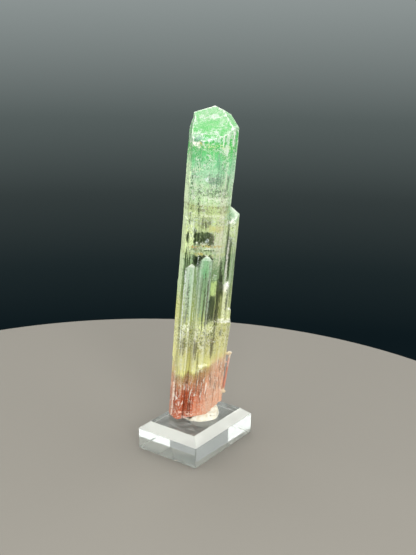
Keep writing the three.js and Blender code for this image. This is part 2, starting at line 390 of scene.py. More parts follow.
# Colour zones from the foot to the tip: height in mm, sRGB
ZONE_TOP = 110
ZONES = [
    (0, (244, 184, 148)),
    (4, (240, 136, 92)),
    (10, (222, 116, 76)),
    (15, (214, 146, 104)),
    (18.6, (186, 152, 92)),
    (19.6, (206, 190, 110)),
    (20.2, (250, 250, 158)),
    (24, (250, 248, 166)),
    (29, (226, 222, 134)),
    (35, (234, 242, 146)),
    (42, (210, 226, 138)),
    (52, (180, 212, 152)),
    (60, (180, 214, 156)),
    (61, (204, 230, 168)),
    (69, (224, 244, 172)),
    (76.6, (212, 234, 164)),
    (77.6, (208, 244, 182)),
    (82, (206, 244, 188)),
    (87, (178, 236, 188)),
    (91, (148, 232, 168)),
    (95, (90, 216, 108)),
    (99, (92, 208, 104)),
    (103, (122, 216, 128)),
    (108, (168, 222, 168)),
]

# Noises of the material: waves per mm across and along the crystal, octaves, roughness
STREAKS = (1.5, 0.05, 3, 0.5)
HAIRS = (3.4, 0.12, 2, 0.5)
FLECKS = (1.3, 0.9, 4, 0.65)
GRAIN = (2.6, 1.9, 3, 0.6)
TEETH = (1.1, 0.16, 2, 0.5)
GLINTS = (1.5, 0.45, 2, 0.5)
SWELL = (0.35, 0.12, 3, 0.5)
SHARDS = (1.7, 1.3, 1, 0.3)
CLOUD_WAVES = 0.3
CLOUD_OCTAVES = 4

# Colours laid over the zones, in sRGB
FOOT_BROWN = (192, 72, 16)
FOOT_SALMON = (246, 180, 148)
FOOT_BLUSH = (250, 196, 164)
FOOT_GAP = (104, 70, 40)
FOOT_GLINT = (255, 244, 232)
TIP_FROST = (236, 250, 238)
# Painted highlight along the fine striations
HAIR_HIGHLIGHT = (240, 250, 226)
DARK_STREAK = (120, 128, 84)
DARK_GRAIN = (74, 100, 66)
LIGHT_GRAIN = (248, 252, 242)
# Painted shadow beside each growth line
LINE_SHADOW = (96, 122, 84)
PALE_LINE = (240, 248, 226)
DARK_SHARD = (84, 92, 52)
PALE_SHARD = (252, 252, 226)
HEALED_CRACK = (236, 250, 236)
FINE_DARK = (70, 92, 58)
FINE_LIGHT = (248, 252, 220)
SPLINTER_PINK = (224, 152, 128)
SPLINTER_CREAM = (240, 218, 184)
# Painted highlight on sharp edges
EDGE_HIGHLIGHT = (250, 252, 244)
GLASS_DEPTH = (96, 112, 84)

# Change of the zones' level per mm to the right
ZONE_SLANT = -0.42

# Fades, as smooth() takes them: from, to, and the values there where they aren't 0 and 1. Along the
# crystal, in mm
SLANT_BY_HEIGHT = (44, 26)
TEETH_BY_HEIGHT = (28, 12, 0.8, 6.0)
CLOUDS_BY_HEIGHT = (20, 60, 0.0, 6.0)
CLEAR_BY_HEIGHT = (STEP - 2, STEP + 14, 0.46, 0.28)
CLEAR_BY_LEVEL = (FOOT_TOP - 1, FOOT_TOP + 6, 0.65, 1.0)
FOOT_BY_LEVEL = (FOOT_TOP - 2, FOOT_TOP - 8)
BROWN_BY_LEVEL = (1, 7, 0.55, 1.0)
BLUSH_BY_LEVEL = (FOOT_TOP + 5, FOOT_TOP)
GAPS_TOP = (FOOT_TOP, FOOT_TOP - 4)
GAPS_BOTTOM = (5, 9)
FROST_BY_HEIGHT = (TIP - 1, TIP + 4)
HAIR_HIGHLIGHT_BY_LEVEL = (FOOT_TOP - 9, FOOT_TOP + 3, 0.3, 1.0)
STREAKS_BY_HEIGHT = (STEP + 2, STEP + 14, 1.0, 0.35)
GLASS_BY_HEIGHT = (STEP, STEP + 12, 1.0, 0.2)
UPPER_BOTTOM = (STEP, STEP + 8)
UPPER_TOP = (TIP + 7, TIP - 13, 0.35, 1.0)
CRACKLE_BOTTOM = (24, 31)
CRACKLE_TOP = (39, 34)
UNDER_TIP = (TIP - 7, TIP + 1, 1.0, 0.0)
CRACKS_BY_HEIGHT = (STEP, STEP + 6, 0.25, 0.8)
CREAM_TOP = (22.5, 24.5)
CREAM_BOTTOM = (12.5, 11)
ROUGH_BY_HEIGHT = (TIP - 1, TIP + 5, 0.04, 0.35)
RIBS_BY_HEIGHT = (STEP, STEP + 10, 1.0, 0.4)

# Fades across the crystal, in mm
BROWN_ACROSS = (3.5, -1.0)
SALMON_ACROSS = (1.0, 5.5, 0.0, 0.9)
BLUSH_ACROSS = (4.5, 7.5)

# Fades by the value of a noise
GAPS_IN_TEETH = (0.48, 0.36, 0.0, 0.6)
BRIGHT_IN_GLINTS = (0.58, 0.64, 0.0, 0.95)
FROST_IN_FLECKS = (1.0, 1.2, 0.0, 0.75)
HIGHLIGHT_IN_HAIRS = (0.56, 0.68, 0.0, 0.4)
DARK_IN_STREAKS = (0.45, 0.3, 0.0, 0.5)
GLASS_IN_STREAKS = (0.45, 0.3, 0.0, 0.25)
UPPER_IN_CLOUDS = (0.42, 0.56, 0.3, 1.1)
LIGHT_IN_GRAIN = (0.54, 0.62)
LIGHT_IN_FLECKS = (0.58, 0.66)
DARK_IN_GRAIN = (0.43, 0.35)
DARK_IN_FLECKS = (0.4, 0.32)
PALE_LINES_IN_CLOUDS = (0.42, 0.5)
LINE_SHADOWS_IN_CLOUDS = (0.47, 0.55)
DARK_IN_SHARDS = (0.44, 0.4)
PALE_IN_SHARDS = (0.57, 0.6)
CRACKS_IN_CLOUDS = (0.42, 0.55)
PATCHY_IN_GRAIN = (0.75, 1.0, 0.65, 1.0)
DASHES_IN_FLECKS = (0.46, 0.53, 0.05, 1.0)
FINE_DARK_IN_GRAIN = (0.45, 0.36)
FINE_LIGHT_IN_GRAIN = (0.53, 0.61)
RIM_IN_FLECKS = (0.35, 0.6, 0.5, 1.0)
ROUGH_IN_FLECKS = (0.5, 0.7, 0.0, 0.2)

# How thick grain lies everywhere, and how much more over the step and in the band of crackle
GRAIN_THICKNESS = (0.15, 0.45, 0.6)
FINE_THICKNESS = (0.12, 0.25, 0.6)

# How far the foot's upper edge and its two sides wander, in mm
FOOT_EDGE_WANDER = 10
FOOT_SIDE_WANDER = 8

# Growth lines, each with a painted shadow beside it: lines per mm, how far a swell bends them, half width
# and place of the shade, in turns
LINE_RATE = 0.42
LINE_SWELL = 5.0
LINE_WIDTH = 0.06
LINE_SHADE = 0.13

# Healed cracks: waves per mm and reach of their wandering in mm, cells per mm, and how their edges fade
CRACK_WAVES = 0.7
CRACK_WANDER = (3, 3, 3)
CRACK_CELLS = (0.3, 0.3, 0.5)
CRACK_EDGES = (0.07, 0.01)

# Refraction, and depth of the fine relief in mm
TOURMALINE_IOR = 1.62
RELIEF = 0.2

# Marks: waves per mm and reach of their bending in mm, and the half sizes under which a mark is a level
# line or a thin stroke
BEND_WAVES = 1.1
BEND_REACH = (2.4, 0, 4.0)
LEVEL_LINE = 0.4
THIN_STROKE = 0.25

# Depth of the marks behind the front faces, and of those in the two crystals that stand proud of them
FRONT = -7
DEEP = 5
TWINS = -8.8
PROUD = 1.25

# Marks in the crystal, in mm of the cluster's own frame (right, away, along): centre, half size, softness,
# sRGB, share of the colour, share of clear glass
MARKS = [
    # Painted highlights along the edges of the main crystal
    ((-7.0, -2, 69.0), (0.9, 5, 26.0), 0.4, (232, 250, 204), 0.75, 0.08),
    ((-7.0, -2, 31.0), (0.9, 5, 13.0), 0.4, (244, 242, 168), 0.75, 0.08),
    ((-5.6, FRONT, 64.0), (1.9, DEEP, 5.0), 1.0, (228, 242, 178), 0.6, 0.08),
    ((6.95, -3, 87.0), (0.35, 5, 10.0), 0.3, (206, 240, 206), 0.5, 0.2),
    ((5.2, FRONT, 88.0), (0.25, DEEP, 6.0), 0.3, (224, 246, 216), 0.7, 0.2),
    # Smoky windows and their frames
    ((0.0, FRONT, 66.1), (2.9, DEEP, 2.3), 0.9, (64, 78, 60), 0.9, 0.9),
    ((2.4, FRONT, 66.2), (1.0, DEEP, 1.6), 0.9, (150, 140, 120), 0.7, 0.8),
    # A painted glint in the smoky window
    ((0.9, FRONT, 65.4), (0.45, DEEP, 0.5), 0.5, (226, 240, 240), 0.9, 0.3),
    ((-1.0, FRONT, 64.3), (1.6, DEEP, 0.3), 0.4, (220, 230, 200), 0.8, 0.2),
    ((-1.3, FRONT, 66.6), (0.2, DEEP, 1.8), 0.4, (150, 170, 120), 0.8, 0.3),
    ((0.3, FRONT, 67.2), (0.18, DEEP, 1.2), 0.4, (190, 206, 170), 0.8, 0.3),
    ((-0.2, FRONT, 72.0), (2.0, DEEP, 2.6), 1.6, (168, 176, 130), 0.45, 0.45),
    ((0.0, FRONT, 70.9), (1.1, DEEP, 1.1), 0.9, (128, 124, 92), 0.65, 0.6),
    ((0.0, FRONT, 58.9), (3.3, DEEP, 2.0), 0.6, (50, 60, 52), 0.92, 0.97),
    ((4.2, FRONT, 41.8), (1.3, DEEP, 5.2), 0.4, (74, 94, 76), 0.94, 0.85),
    ((6.6, -4, 45.5), (1.0, 7, 9.0), 0.4, (20, 20, 15), 0.98, 0.8),
    ((5.4, FRONT, 44.0), (0.15, DEEP, 8.0), 0.2, (190, 190, 140), 0.6, 0.5),
    ((5.9, FRONT, 45.0), (0.16, DEEP, 8.0), 0.2, (14, 14, 10), 0.95, 0.6),
    ((6.9, FRONT, 46.0), (0.14, DEEP, 7.0), 0.2, (14, 14, 10), 0.95, 0.6),
    ((6.3, FRONT, 56.0), (0.35, DEEP, 3.0), 0.3, (48, 50, 38), 0.92, 0.9),
    ((6.5, FRONT, 64.0), (0.7, DEEP, 5.0), 0.6, (232, 240, 206), 0.6, 0.15),
    ((3.3, FRONT, 53.6), (0.8, DEEP, 3.4), 0.6, (132, 158, 96), 0.75, 0.5),
    ((4.7, FRONT, 54.6), (0.9, DEEP, 3.0), 0.7, (128, 168, 120), 0.7, 0.45),
    ((4.2, FRONT, 49.6), (1.0, DEEP, 2.5), 0.6, (206, 230, 144), 0.7, 0.2),
    # Pale band on the right of the upper crystal
    ((5.0, FRONT, 78.0), (1.0, DEEP, 8.0), 1.2, (222, 214, 196), 0.5, 0.3),
    ((4.7, FRONT, 63.4), (1.3, DEEP, 5.6), 1.2, (220, 214, 198), 0.6, 0.25),
    # Growth lines and stains around the step
    ((0.0, 0, 76.9), (9, 9, 0.22), 0.5, (150, 142, 76), 0.75, 0.35),
    ((0.0, 0, 77.7), (9, 9, 0.25), 0.5, (226, 240, 200), 0.6, 0.3),
    ((0.0, FRONT, 83.4), (7, DEEP, 0.22), 0.5, (220, 240, 200), 0.7, 0.3),
    ((1.6, FRONT, 79.8), (3.4, DEEP, 0.3), 0.6, (240, 246, 226), 0.8, 0.2),
    ((1.8, FRONT, 81.4), (2.6, DEEP, 0.25), 0.6, (112, 146, 110), 0.8, 0.5),
    ((0.8, FRONT, 80.5), (2.6, DEEP, 0.2), 0.5, (122, 150, 110), 0.8, 0.5),
    ((2.8, FRONT, 82.4), (2.0, DEEP, 0.2), 0.5, (110, 146, 116), 0.8, 0.5),
    ((1.0, FRONT, 75.6), (3.4, DEEP, 0.2), 0.7, (146, 146, 96), 0.7, 0.4),
    ((1.6, FRONT, 74.0), (2.6, DEEP, 0.2), 0.6, (238, 242, 212), 0.8, 0.2),
    ((2.6, FRONT, 78.6), (2.4, DEEP, 0.2), 0.4, (236, 244, 216), 0.7, 0.2),
    ((3.4, FRONT, 69.6), (1.8, DEEP, 0.9), 0.8, (222, 214, 124), 0.6, 0.3),
    ((-3.0, FRONT, 63.1), (1.3, DEEP, 0.5), 0.5, (206, 160, 60), 0.9, 0.3),
    ((2.6, FRONT, 63.6), (2.2, DEEP, 0.3), 0.5, (212, 180, 90), 0.8, 0.3),
    # Two pale curved lines that are painted reflections off a crack, with a dark line between them
    ((0.4, FRONT, 62.9), (2.4, DEEP, 0.2), 0.4, (230, 240, 230), 0.7, 0.3),
    ((0.6, FRONT, 61.6), (2.8, DEEP, 0.2), 0.4, (216, 228, 214), 0.7, 0.3),
    ((0.4, FRONT, 62.2), (2.2, DEEP, 0.22), 0.4, (70, 92, 76), 0.8, 0.8),
    ((-1.4, FRONT, 61.0), (1.2, DEEP, 0.4), 0.5, (214, 190, 84), 0.85, 0.3),
    ((0.0, FRONT, 60.7), (7.5, DEEP, 0.35), 0.5, (220, 232, 164), 0.7, 0.3),
    # Dark dashes and strokes in the upper crystal
    ((-5.6, FRONT, 82.0), (0.18, DEEP, 4.6), 0.3, (84, 120, 88), 0.95, 0.6),
    ((-2.9, FRONT, 80.6), (0.2, DEEP, 4.2), 0.3, (84, 116, 86), 0.95, 0.6),
    ((-2.8, FRONT, 71.5), (0.24, DEEP, 6.0), 0.4, (54, 62, 40), 0.98, 0.7),
    ((-5.4, FRONT, 73.5), (0.2, DEEP, 3.4), 0.3, (90, 100, 62), 0.95, 0.7),
    ((-5.5, FRONT, 66.2), (0.35, DEEP, 1.4), 0.4, (36, 44, 32), 0.95, 0.95),
    ((-3.1, FRONT, 66.0), (0.3, DEEP, 2.2), 0.4, (46, 52, 38), 0.9, 0.95),
    ((2.4, FRONT, 85.4), (0.16, DEEP, 2.0), 0.3, (96, 140, 120), 0.7, 0.6),
    ((3.4, FRONT, 86.0), (0.16, DEEP, 2.4), 0.3, (96, 140, 120), 0.7, 0.6),
    ((4.2, FRONT, 85.6), (0.16, DEEP, 2.2), 0.3, (90, 134, 114), 0.7, 0.6),
    ((5.9, FRONT, 84.6), (0.3, DEEP, 2.4), 0.4, (106, 146, 122), 0.6, 0.6),
    ((2.4, FRONT, 91.0), (0.3, DEEP, 2.0), 0.8, (84, 176, 134), 0.5, 0.4),
    ((1.4, FRONT, 85.4), (2.2, DEEP, 1.6), 1.4, (120, 160, 138), 0.5, 0.5),
    # A painted glint
    ((-1.0, FRONT, 85.8), (0.4, DEEP, 0.5), 0.4, (236, 250, 250), 0.9, 0.2),
    ((-5.6, FRONT, 57.5), (0.25, DEEP, 3.0), 0.3, (70, 82, 56), 0.8, 0.9),
    ((-4.9, FRONT, 57.5), (0.2, DEEP, 3.0), 0.3, (80, 92, 66), 0.7, 0.9),
    ((-4.2, FRONT, 58.4), (0.2, DEEP, 2.0), 0.3, (80, 92, 66), 0.7, 0.9),
    # Bright marks under the tip, where it is chipped; the two whitest, at the left, are a painted highlight
    ((-5.6, FRONT, 96.6), (1.3, DEEP, 0.7), 0.5, (255, 252, 242), 0.98, 0.05),
    ((-4.4, FRONT, 96.4), (0.6, DEEP, 1.0), 0.5, (255, 250, 236), 0.98, 0.05),
    ((-3.9, FRONT, 96.9), (0.3, DEEP, 0.4), 0.3, (236, 190, 110), 0.8, 0.2),
    ((-4.8, FRONT, 93.0), (1.8, DEEP, 2.6), 1.2, (86, 196, 116), 0.6, 0.3),
    ((-4.6, FRONT, 91.8), (0.5, DEEP, 0.45), 0.7, (236, 250, 236), 0.9, 0.2),
    ((-4.2, FRONT, 88.8), (1.1, DEEP, 0.4), 0.6, (226, 240, 206), 0.8, 0.2),
    ((4.4, FRONT, 95.6), (1.0, DEEP, 1.1), 0.9, (240, 250, 234), 0.85, 0.2),
    ((1.4, FRONT, 96.4), (2.4, DEEP, 0.25), 0.5, (232, 240, 180), 0.7, 0.2),
    ((-1.0, FRONT, 98.6), (4.0, DEEP, 0.5), 0.8, (226, 246, 236), 0.7, 0.2),
    ((-4.8, FRONT, 98.0), (1.6, DEEP, 0.7), 0.9, (112, 178, 156), 0.6, 0.4),
    # Slots over the colour change
    ((0.2, FRONT, 28.0), (0.4, DEEP, 2.6), 0.4, (104, 94, 50), 0.9, 0.8),
    ((5.7, FRONT, 28.4), (0.45, DEEP, 2.8), 0.4, (100, 88, 58), 0.9, 0.8),
    ((-4.4, FRONT, 28.6), (0.35, DEEP, 2.2), 0.5, (118, 118, 70), 0.8, 0.7),
    ((-3.6, FRONT, 28.0), (0.25, DEEP, 1.8), 0.4, (118, 118, 70), 0.8, 0.7),
    ((3.2, FRONT, 22.4), (1.2, DEEP, 0.5), 0.4, (250, 248, 206), 0.9, 0.1),
    # The two crystals that stand proud of the front
    ((-3.6, TWINS, 48.0), (2.4, PROUD, 10.5), 1.0, (190, 224, 198), 0.6, 0.3),
    # Painted highlight along the left edge of the left crystal
    ((-5.4, TWINS, 44.0), (0.45, PROUD + 0.6, 12.0), 0.3, (236, 244, 240), 0.9, 0.2),
    ((-3.9, TWINS, 46.6), (0.4, PROUD, 4.2), 0.5, (98, 128, 104), 0.8, 0.7),
    ((-4.0, TWINS, 40.0), (0.7, PROUD, 3.0), 0.8, (120, 136, 84), 0.7, 0.6),
    ((-3.5, TWINS, 35.6), (1.0, PROUD, 1.2), 0.9, (226, 236, 200), 0.6, 0.2),
    ((3.2, FRONT, 36.0), (2.0, DEEP, 1.6), 1.4, (240, 246, 180), 0.4, 0.2),
    ((-1.7, TWINS, 46.0), (0.25, PROUD, 10.0), 0.3, (130, 160, 140), 0.6, 0.7),
    ((1.3, TWINS, 50.0), (2.9, PROUD, 10.0), 1.4, (138, 182, 140), 0.75, 0.4),
    ((1.4, TWINS, 55.8), (1.7, PROUD, 1.6), 1.6, (130, 206, 144), 0.6, 0.3),
    # Painted highlight along the left edge of the right crystal
    ((-1.4, TWINS, 45.5), (0.4, PROUD + 0.6, 14.0), 0.3, (232, 244, 238), 0.9, 0.2),
    ((1.3, TWINS + 0.5, 59.0), (1.7, PROUD, 2.0), 0.5, (158, 210, 160), 0.85, 0.3),
    ((0.5, TWINS, 47.0), (0.25, PROUD, 5.0), 0.4, (120, 146, 110), 0.6, 0.6),
    ((2.7, TWINS, 45.0), (0.25, PROUD + 0.6, 10.0), 0.3, (64, 74, 46), 0.85, 0.7),
    ((1.7, TWINS, 43.0), (0.2, PROUD, 7.0), 0.3, (84, 98, 56), 0.85, 0.6),
    # Second crystal: mint tip, ledge, dark lines, and a painted highlight where a conchoidal break shines
    ((9.2, 0, 74.5), (2.2, 8, 3.0), 1.2, (186, 236, 192), 0.85, 0.4),
    ((8.6, -2, 73.0), (0.8, 6, 0.9), 0.9, (110, 190, 128), 0.8, 0.4),
    ((8.6, -3, 71.2), (1.2, 5, 0.5), 0.5, (250, 254, 246), 0.95, 0.1),
    ((7.9, -2, 63.0), (0.4, 5, 8.0), 0.4, (64, 70, 50), 0.85, 0.9),
    ((8.9, -2, 57.0), (0.4, 5, 7.0), 0.4, (60, 66, 52), 0.8, 0.9),
    ((8.3, -2, 56.0), (0.3, 5, 6.0), 0.5, (226, 222, 214), 0.8, 0.2),
    # The painted highlight on the conchoidal break
    ((8.5, -2, 48.4), (0.9, 5, 1.3), 0.6, (246, 248, 226), 0.95, 0.1),
    ((9.1, -2, 49.8), (0.5, 5, 1.0), 0.4, (255, 255, 250), 0.95, 0.1),
    ((8.6, -2, 42.0), (1.6, 5, 5.0), 0.6, (226, 232, 160), 0.7, 0.2),
    ((9.3, -2, 42.0), (0.3, 5, 4.6), 0.3, (92, 104, 76), 0.8, 0.8),
    # Square-shouldered crystal
    ((9.0, -3, 30.5), (2.2, 5, 6.5), 0.8, (234, 230, 148), 0.7, 0.4),
    ((9.0, -3, 37.3), (2.1, 5, 0.35), 0.4, (255, 253, 236), 0.9, 0.1),
    ((8.3, -3, 33.4), (0.5, 5, 0.8), 0.6, (110, 118, 84), 0.8, 0.6),
    # Foot: pale left face with a painted highlight along its edge, and two steps lit by painted highlights
    ((-6.9, -4, 8.0), (0.8, 4, 12.0), 0.5, (240, 176, 150), 0.6, 0.2),
    # Painted highlight along the edge of the left face
    ((-5.9, FRONT, 10.0), (0.2, 6, 10.0), 0.3, (250, 232, 216), 0.8, 0.2),
    # Painted highlights on two small steps
    ((-1.2, FRONT, 4.2), (2.4, DEEP, 0.3), 0.4, (246, 204, 184), 0.8, 0.2),
    ((-1.6, FRONT, 2.4), (1.8, DEEP, 0.3), 0.4, (246, 232, 224), 0.8, 0.2),
]


class Tourmaline(Tree):
    """The crystal's material. Each step lays one kind of feature over the colour so far."""

    def __init__(self):
        super().__init__("tourmaline_zoned")
        self.local = self.place(TO_CLUSTER)
        parts = self.add("ShaderNodeSeparateXYZ", Vector=self.local)
        self.across = parts.outputs["X"]
        self.height = parts.outputs["Z"]
        self.streaks = self.texture(*STREAKS)
        self.hairs = self.texture(*HAIRS)
        self.clouds = self.noise(self.local, CLOUD_WAVES, CLOUD_OCTAVES)
        self.flecks = self.texture(*FLECKS)
        self.grain = self.texture(*GRAIN)
        self.teeth = self.texture(*TEETH)

    def texture(self, across, along, octaves, roughness):
        """A noise drawn out along the crystal."""
        return self.noise(self.stretched(self.local, (across, across, along)), 1.0, octaves, roughness)

    def swing(self, texture, reach):
        """A texture turned into a wandering about nothing."""
        return self.times(self.plus(texture, -0.5), reach)

    def wandering(self, waves, reach, start):
        """A start moved about by three noises."""
        node = self.add("ShaderNodeTexNoise", Vector=self.local, Scale=waves, Detail=3)
        return self.vector("MULTIPLY_ADD", node.outputs["Color"], reach, start).outputs["Vector"]

    def paint(self, share, tone, blend="MIX"):
        self.colour = self.mix(share, self.colour, srgb(*tone), blend)

    def lay_zones(self):
        """Colour and clearness by height; the zones slant in the lower half and their edges wander."""
        slant = self.times(self.times(self.across, ZONE_SLANT), self.smooth(self.height, *SLANT_BY_HEIGHT))
        low = self.swing(self.teeth, self.smooth(self.height, *TEETH_BY_HEIGHT))
        high = self.swing(self.clouds, self.smooth(self.height, *CLOUDS_BY_HEIGHT))
        self.level = self.plus(self.height, slant)
        stops = [(at / ZONE_TOP, srgb(*tone)) for at, tone in ZONES]
        place = self.plus(self.level, self.plus(low, high))
        self.colour = self.ramp(self.times(place, 1 / ZONE_TOP), stops)
        clear = self.smooth(self.height, *CLEAR_BY_HEIGHT)
        self.clear = self.times(clear, self.smooth(self.level, *CLEAR_BY_LEVEL))

    def lay_foot(self):
        """Orange-brown on the left, salmon on the right, blush above that, dark gaps and bright glints."""
        level = self.plus(self.level, self.swing(self.hairs, FOOT_EDGE_WANDER))
        low = self.smooth(level, *FOOT_BY_LEVEL)
        side = self.plus(self.across, self.swing(self.streaks, FOOT_SIDE_WANDER))
        left = self.times(low, self.smooth(side, *BROWN_ACROSS))
        deep = self.times(left, self.smooth(self.level, *BROWN_BY_LEVEL))
        self.paint(self.times(deep, 0.92), FOOT_BROWN)
        self.paint(self.times(low, self.smooth(side, *SALMON_ACROSS)), FOOT_SALMON)
        blush = self.times(self.smooth(self.level, *BLUSH_BY_LEVEL), self.smooth(self.across, *BLUSH_ACROSS))
        self.paint(self.times(blush, 0.7), FOOT_BLUSH)
        gaps = self.times(self.smooth(self.level, *GAPS_TOP), self.smooth(self.level, *GAPS_BOTTOM))
        self.paint(self.times(gaps, self.smooth(self.teeth, *GAPS_IN_TEETH)), FOOT_GAP)
        glints = self.smooth(self.texture(*GLINTS), *BRIGHT_IN_GLINTS)
        self.paint(self.times(gaps, glints), FOOT_GLINT)

    def lay_frost(self):
        """The tip is frosted in patches."""
        tip = self.smooth(self.height, *FROST_BY_HEIGHT)
        patches = self.smooth(self.plus(self.flecks, self.clouds), *FROST_IN_FLECKS)
        self.paint(self.times(tip, patches), TIP_FROST)

    def lay_streaks(self):
        """Painted highlights along the fine striations (pale hairs), and dark streaks that are clearer,
        along the crystal.
        """
        # Painted highlights on the striations, fainter at the foot
        pale = self.smooth(self.hairs, *HIGHLIGHT_IN_HAIRS)
        self.paint(self.times(pale, self.smooth(self.level, *HAIR_HIGHLIGHT_BY_LEVEL)), HAIR_HIGHLIGHT)
        dark = self.smooth(self.streaks, *DARK_IN_STREAKS)
        dark = self.times(dark, self.smooth(self.height, *STREAKS_BY_HEIGHT))
        self.paint(dark, DARK_STREAK, "MULTIPLY")
        glass = self.smooth(self.streaks, *GLASS_IN_STREAKS)
        glass = self.times(glass, self.smooth(self.height, *GLASS_BY_HEIGHT))
        self.clear = self.plus(self.clear, glass)

    def find_flaws(self):
        """Where flaws are thick, over the step and in the band of crackle, and where none are dark."""
        upper = self.times(self.smooth(self.height, *UPPER_BOTTOM), self.smooth(self.height, *UPPER_TOP))
        self.upper = self.times(upper, self.smooth(self.clouds, *UPPER_IN_CLOUDS))
        bottom = self.smooth(self.height, *CRACKLE_BOTTOM)
        self.crackle = self.times(bottom, self.smooth(self.height, *CRACKLE_TOP))
        self.under_tip = self.smooth(self.height, *UNDER_TIP)

    def thickness(self, everywhere, over_step, in_crackle):
        most = self.plus(everywhere, self.times(self.upper, over_step))
        return self.plus(most, self.times(self.crackle, in_crackle))

    def lay_grain(self):
        """Bright and dark grain."""
        busy = self.thickness(*GRAIN_THICKNESS)
        light = self.smooth(self.grain, *LIGHT_IN_GRAIN)
        light = self.plus(light, self.smooth(self.flecks, *LIGHT_IN_FLECKS))
        dark = self.smooth(self.grain, *DARK_IN_GRAIN)
        dark = self.plus(dark, self.smooth(self.flecks, *DARK_IN_FLECKS))
        self.paint(self.times(self.times(dark, busy), self.under_tip), DARK_GRAIN)
        self.paint(self.times(light, busy), LIGHT_GRAIN)

    def lay_growth_lines(self):
        """Broken, wavy lines almost square to the axis, each with a painted shadow line beside it."""
        swell = self.texture(*SWELL)
        phase = self.plus(self.times(self.height, LINE_RATE), self.times(swell, LINE_SWELL))
        line = self.math("PINGPONG", phase, 0.5)
        pale = self.smooth(line, LINE_WIDTH, 0.0)
        pale = self.times(pale, self.smooth(self.clouds, *PALE_LINES_IN_CLOUDS))
        # Painted shadow: a darker line a little way from each pale line
        dark = self.smooth(self.math("ABSOLUTE", self.plus(line, -LINE_SHADE)), LINE_WIDTH, 0.0)
        dark = self.times(dark, self.smooth(self.clouds, *LINE_SHADOWS_IN_CLOUDS))
        self.paint(self.times(dark, self.times(self.upper, 0.7)), LINE_SHADOW)
        self.paint(self.times(pale, self.times(self.upper, 0.9)), PALE_LINE)

    def lay_shards(self):
        """Dark and pale shards in the band of crackle."""
        shards = self.texture(*SHARDS)
        dark = self.smooth(shards, *DARK_IN_SHARDS)
        self.paint(self.times(dark, self.times(self.crackle, 0.7)), DARK_SHARD)
        pale = self.smooth(shards, *PALE_IN_SHARDS)
        self.paint(self.times(pale, self.times(self.crackle, 0.85)), PALE_SHARD)

    def lay_cracks(self):
        """A net of healed cracks, plainest over the step."""
        path = self.wandering(CRACK_WAVES, CRACK_WANDER, self.local)
        net = self.cell_walls(self.stretched(path, CRACK_CELLS))
        seen = self.times(self.smooth(net, *CRACK_EDGES), self.smooth(self.clouds, *CRACKS_IN_CLOUDS))
        self.paint(self.times(seen, self.smooth(self.height, *CRACKS_BY_HEIGHT)), HEALED_CRACK)

    def lay_marks(self):
        """The marks of the table: level lines and thin strokes break into dashes, others are patchy."""
        bend = self.wandering(BEND_WAVES, BEND_REACH, [-reach / 2 for reach in BEND_REACH])
        ragged = self.plus(self.times(self.grain, 3.0), self.plus(self.times(self.hairs, 3.0), -3.0))
        patchy = self.smooth(self.plus(self.grain, self.hairs), *PATCHY_IN_GRAIN)
        dashes = self.smooth(self.flecks, *DASHES_IN_FLECKS)
        grained = self.times(self.plus(self.grain, -0.42), 4.0)
        for centre, half, soft, tone, share, glass in MARKS:
            shift = self.stretched(bend, (soft,) * 3)
            point = self.vector("ADD", self.local, shift).outputs["Vector"]
            edge, breaks = (grained, dashes) if half[2] < LEVEL_LINE else (ragged, patchy)
            mask = self.times(self.patch(point, edge, centre, half, soft), breaks)
            if half[0] < THIN_STROKE and centre[2] > STEP + 2:
                mask = self.times(mask, dashes)
            self.paint(self.times(mask, share), tone)
            self.clear = self.mix_numbers(mask, self.clear, glass)

    def lay_fine_grain(self):
        """The finest grain lies over everything."""
        over = self.thickness(*FINE_THICKNESS)
        dark = self.times(self.smooth(self.grain, *FINE_DARK_IN_GRAIN), over)
        self.paint(self.times(dark, self.under_tip), FINE_DARK)
        self.paint(self.times(self.smooth(self.grain, *FINE_LIGHT_IN_GRAIN), over), FINE_LIGHT)

    def lay_splinter(self):
        """The thin splinter is pink with cream ends."""
        member = self.attribute("splinter")
        ends = self.plus(self.smooth(self.height, *CREAM_TOP), self.smooth(self.height, *CREAM_BOTTOM))
        tone = self.mix(ends, srgb(*SPLINTER_PINK), srgb(*SPLINTER_CREAM))
        self.colour = self.mix(member, self.colour, tone)

    def lay_rims(self):
        """Sharp edges get a painted white highlight, and are less clear there."""
        edge_highlight = self.times(self.attribute("rim"), self.smooth(self.flecks, *RIM_IN_FLECKS))
        self.paint(edge_highlight, EDGE_HIGHLIGHT)
        self.clear = self.times(self.clear, self.smooth(edge_highlight, 0.0, 1.0, 1.0, 0.3))

    def finished(self):
        """Clear parts are a little deeper in colour; the tip and some flecks are rough."""
        self.paint(self.times(self.clear, 0.12), GLASS_DEPTH)
        rough = self.smooth(self.height, *ROUGH_BY_HEIGHT)
        rough = self.plus(rough, self.smooth(self.flecks, *ROUGH_IN_FLECKS))
        ribs = self.times(self.hairs, self.smooth(self.height, *RIBS_BY_HEIGHT))
        pits = self.times(self.grain, self.times(self.upper, 0.5))
        return self.finish(
            Base_Color=self.colour,
            Transmission_Weight=self.clear,
            Roughness=rough,
            IOR=TOURMALINE_IOR,
            Normal=self.bump(self.plus(ribs, pits), RELIEF),
        )


def tourmaline_material():
    tree = Tourmaline()
    tree.lay_zones()
    tree.lay_foot()
    tree.lay_frost()
    tree.lay_streaks()
    tree.find_flaws()
    tree.lay_grain()
    tree.lay_growth_lines()
    tree.lay_shards()
    tree.lay_cracks()
    tree.lay_marks()
    tree.lay_fine_grain()
    tree.lay_splinter()
    tree.lay_rims()
    return tree.finished()


# Acrylic: sRGB, share of clear glass by kind of face and lost under scuffs, refraction; the bevels' paler
# tone and lower clearness are a painted reflection of the lights
ACRYLIC = (240, 246, 243)
ACRYLIC_BEVEL_SHEEN = (246, 248, 240)
SIDE_CLEAR = 0.89
TOP_CLEAR = 0.93
BEVEL_CLEAR = 0.55
SCUFF_LOSS = -0.3
SCUFF_WAVES = (0.22, 2.6, 1)
ACRYLIC_IOR = 1.49


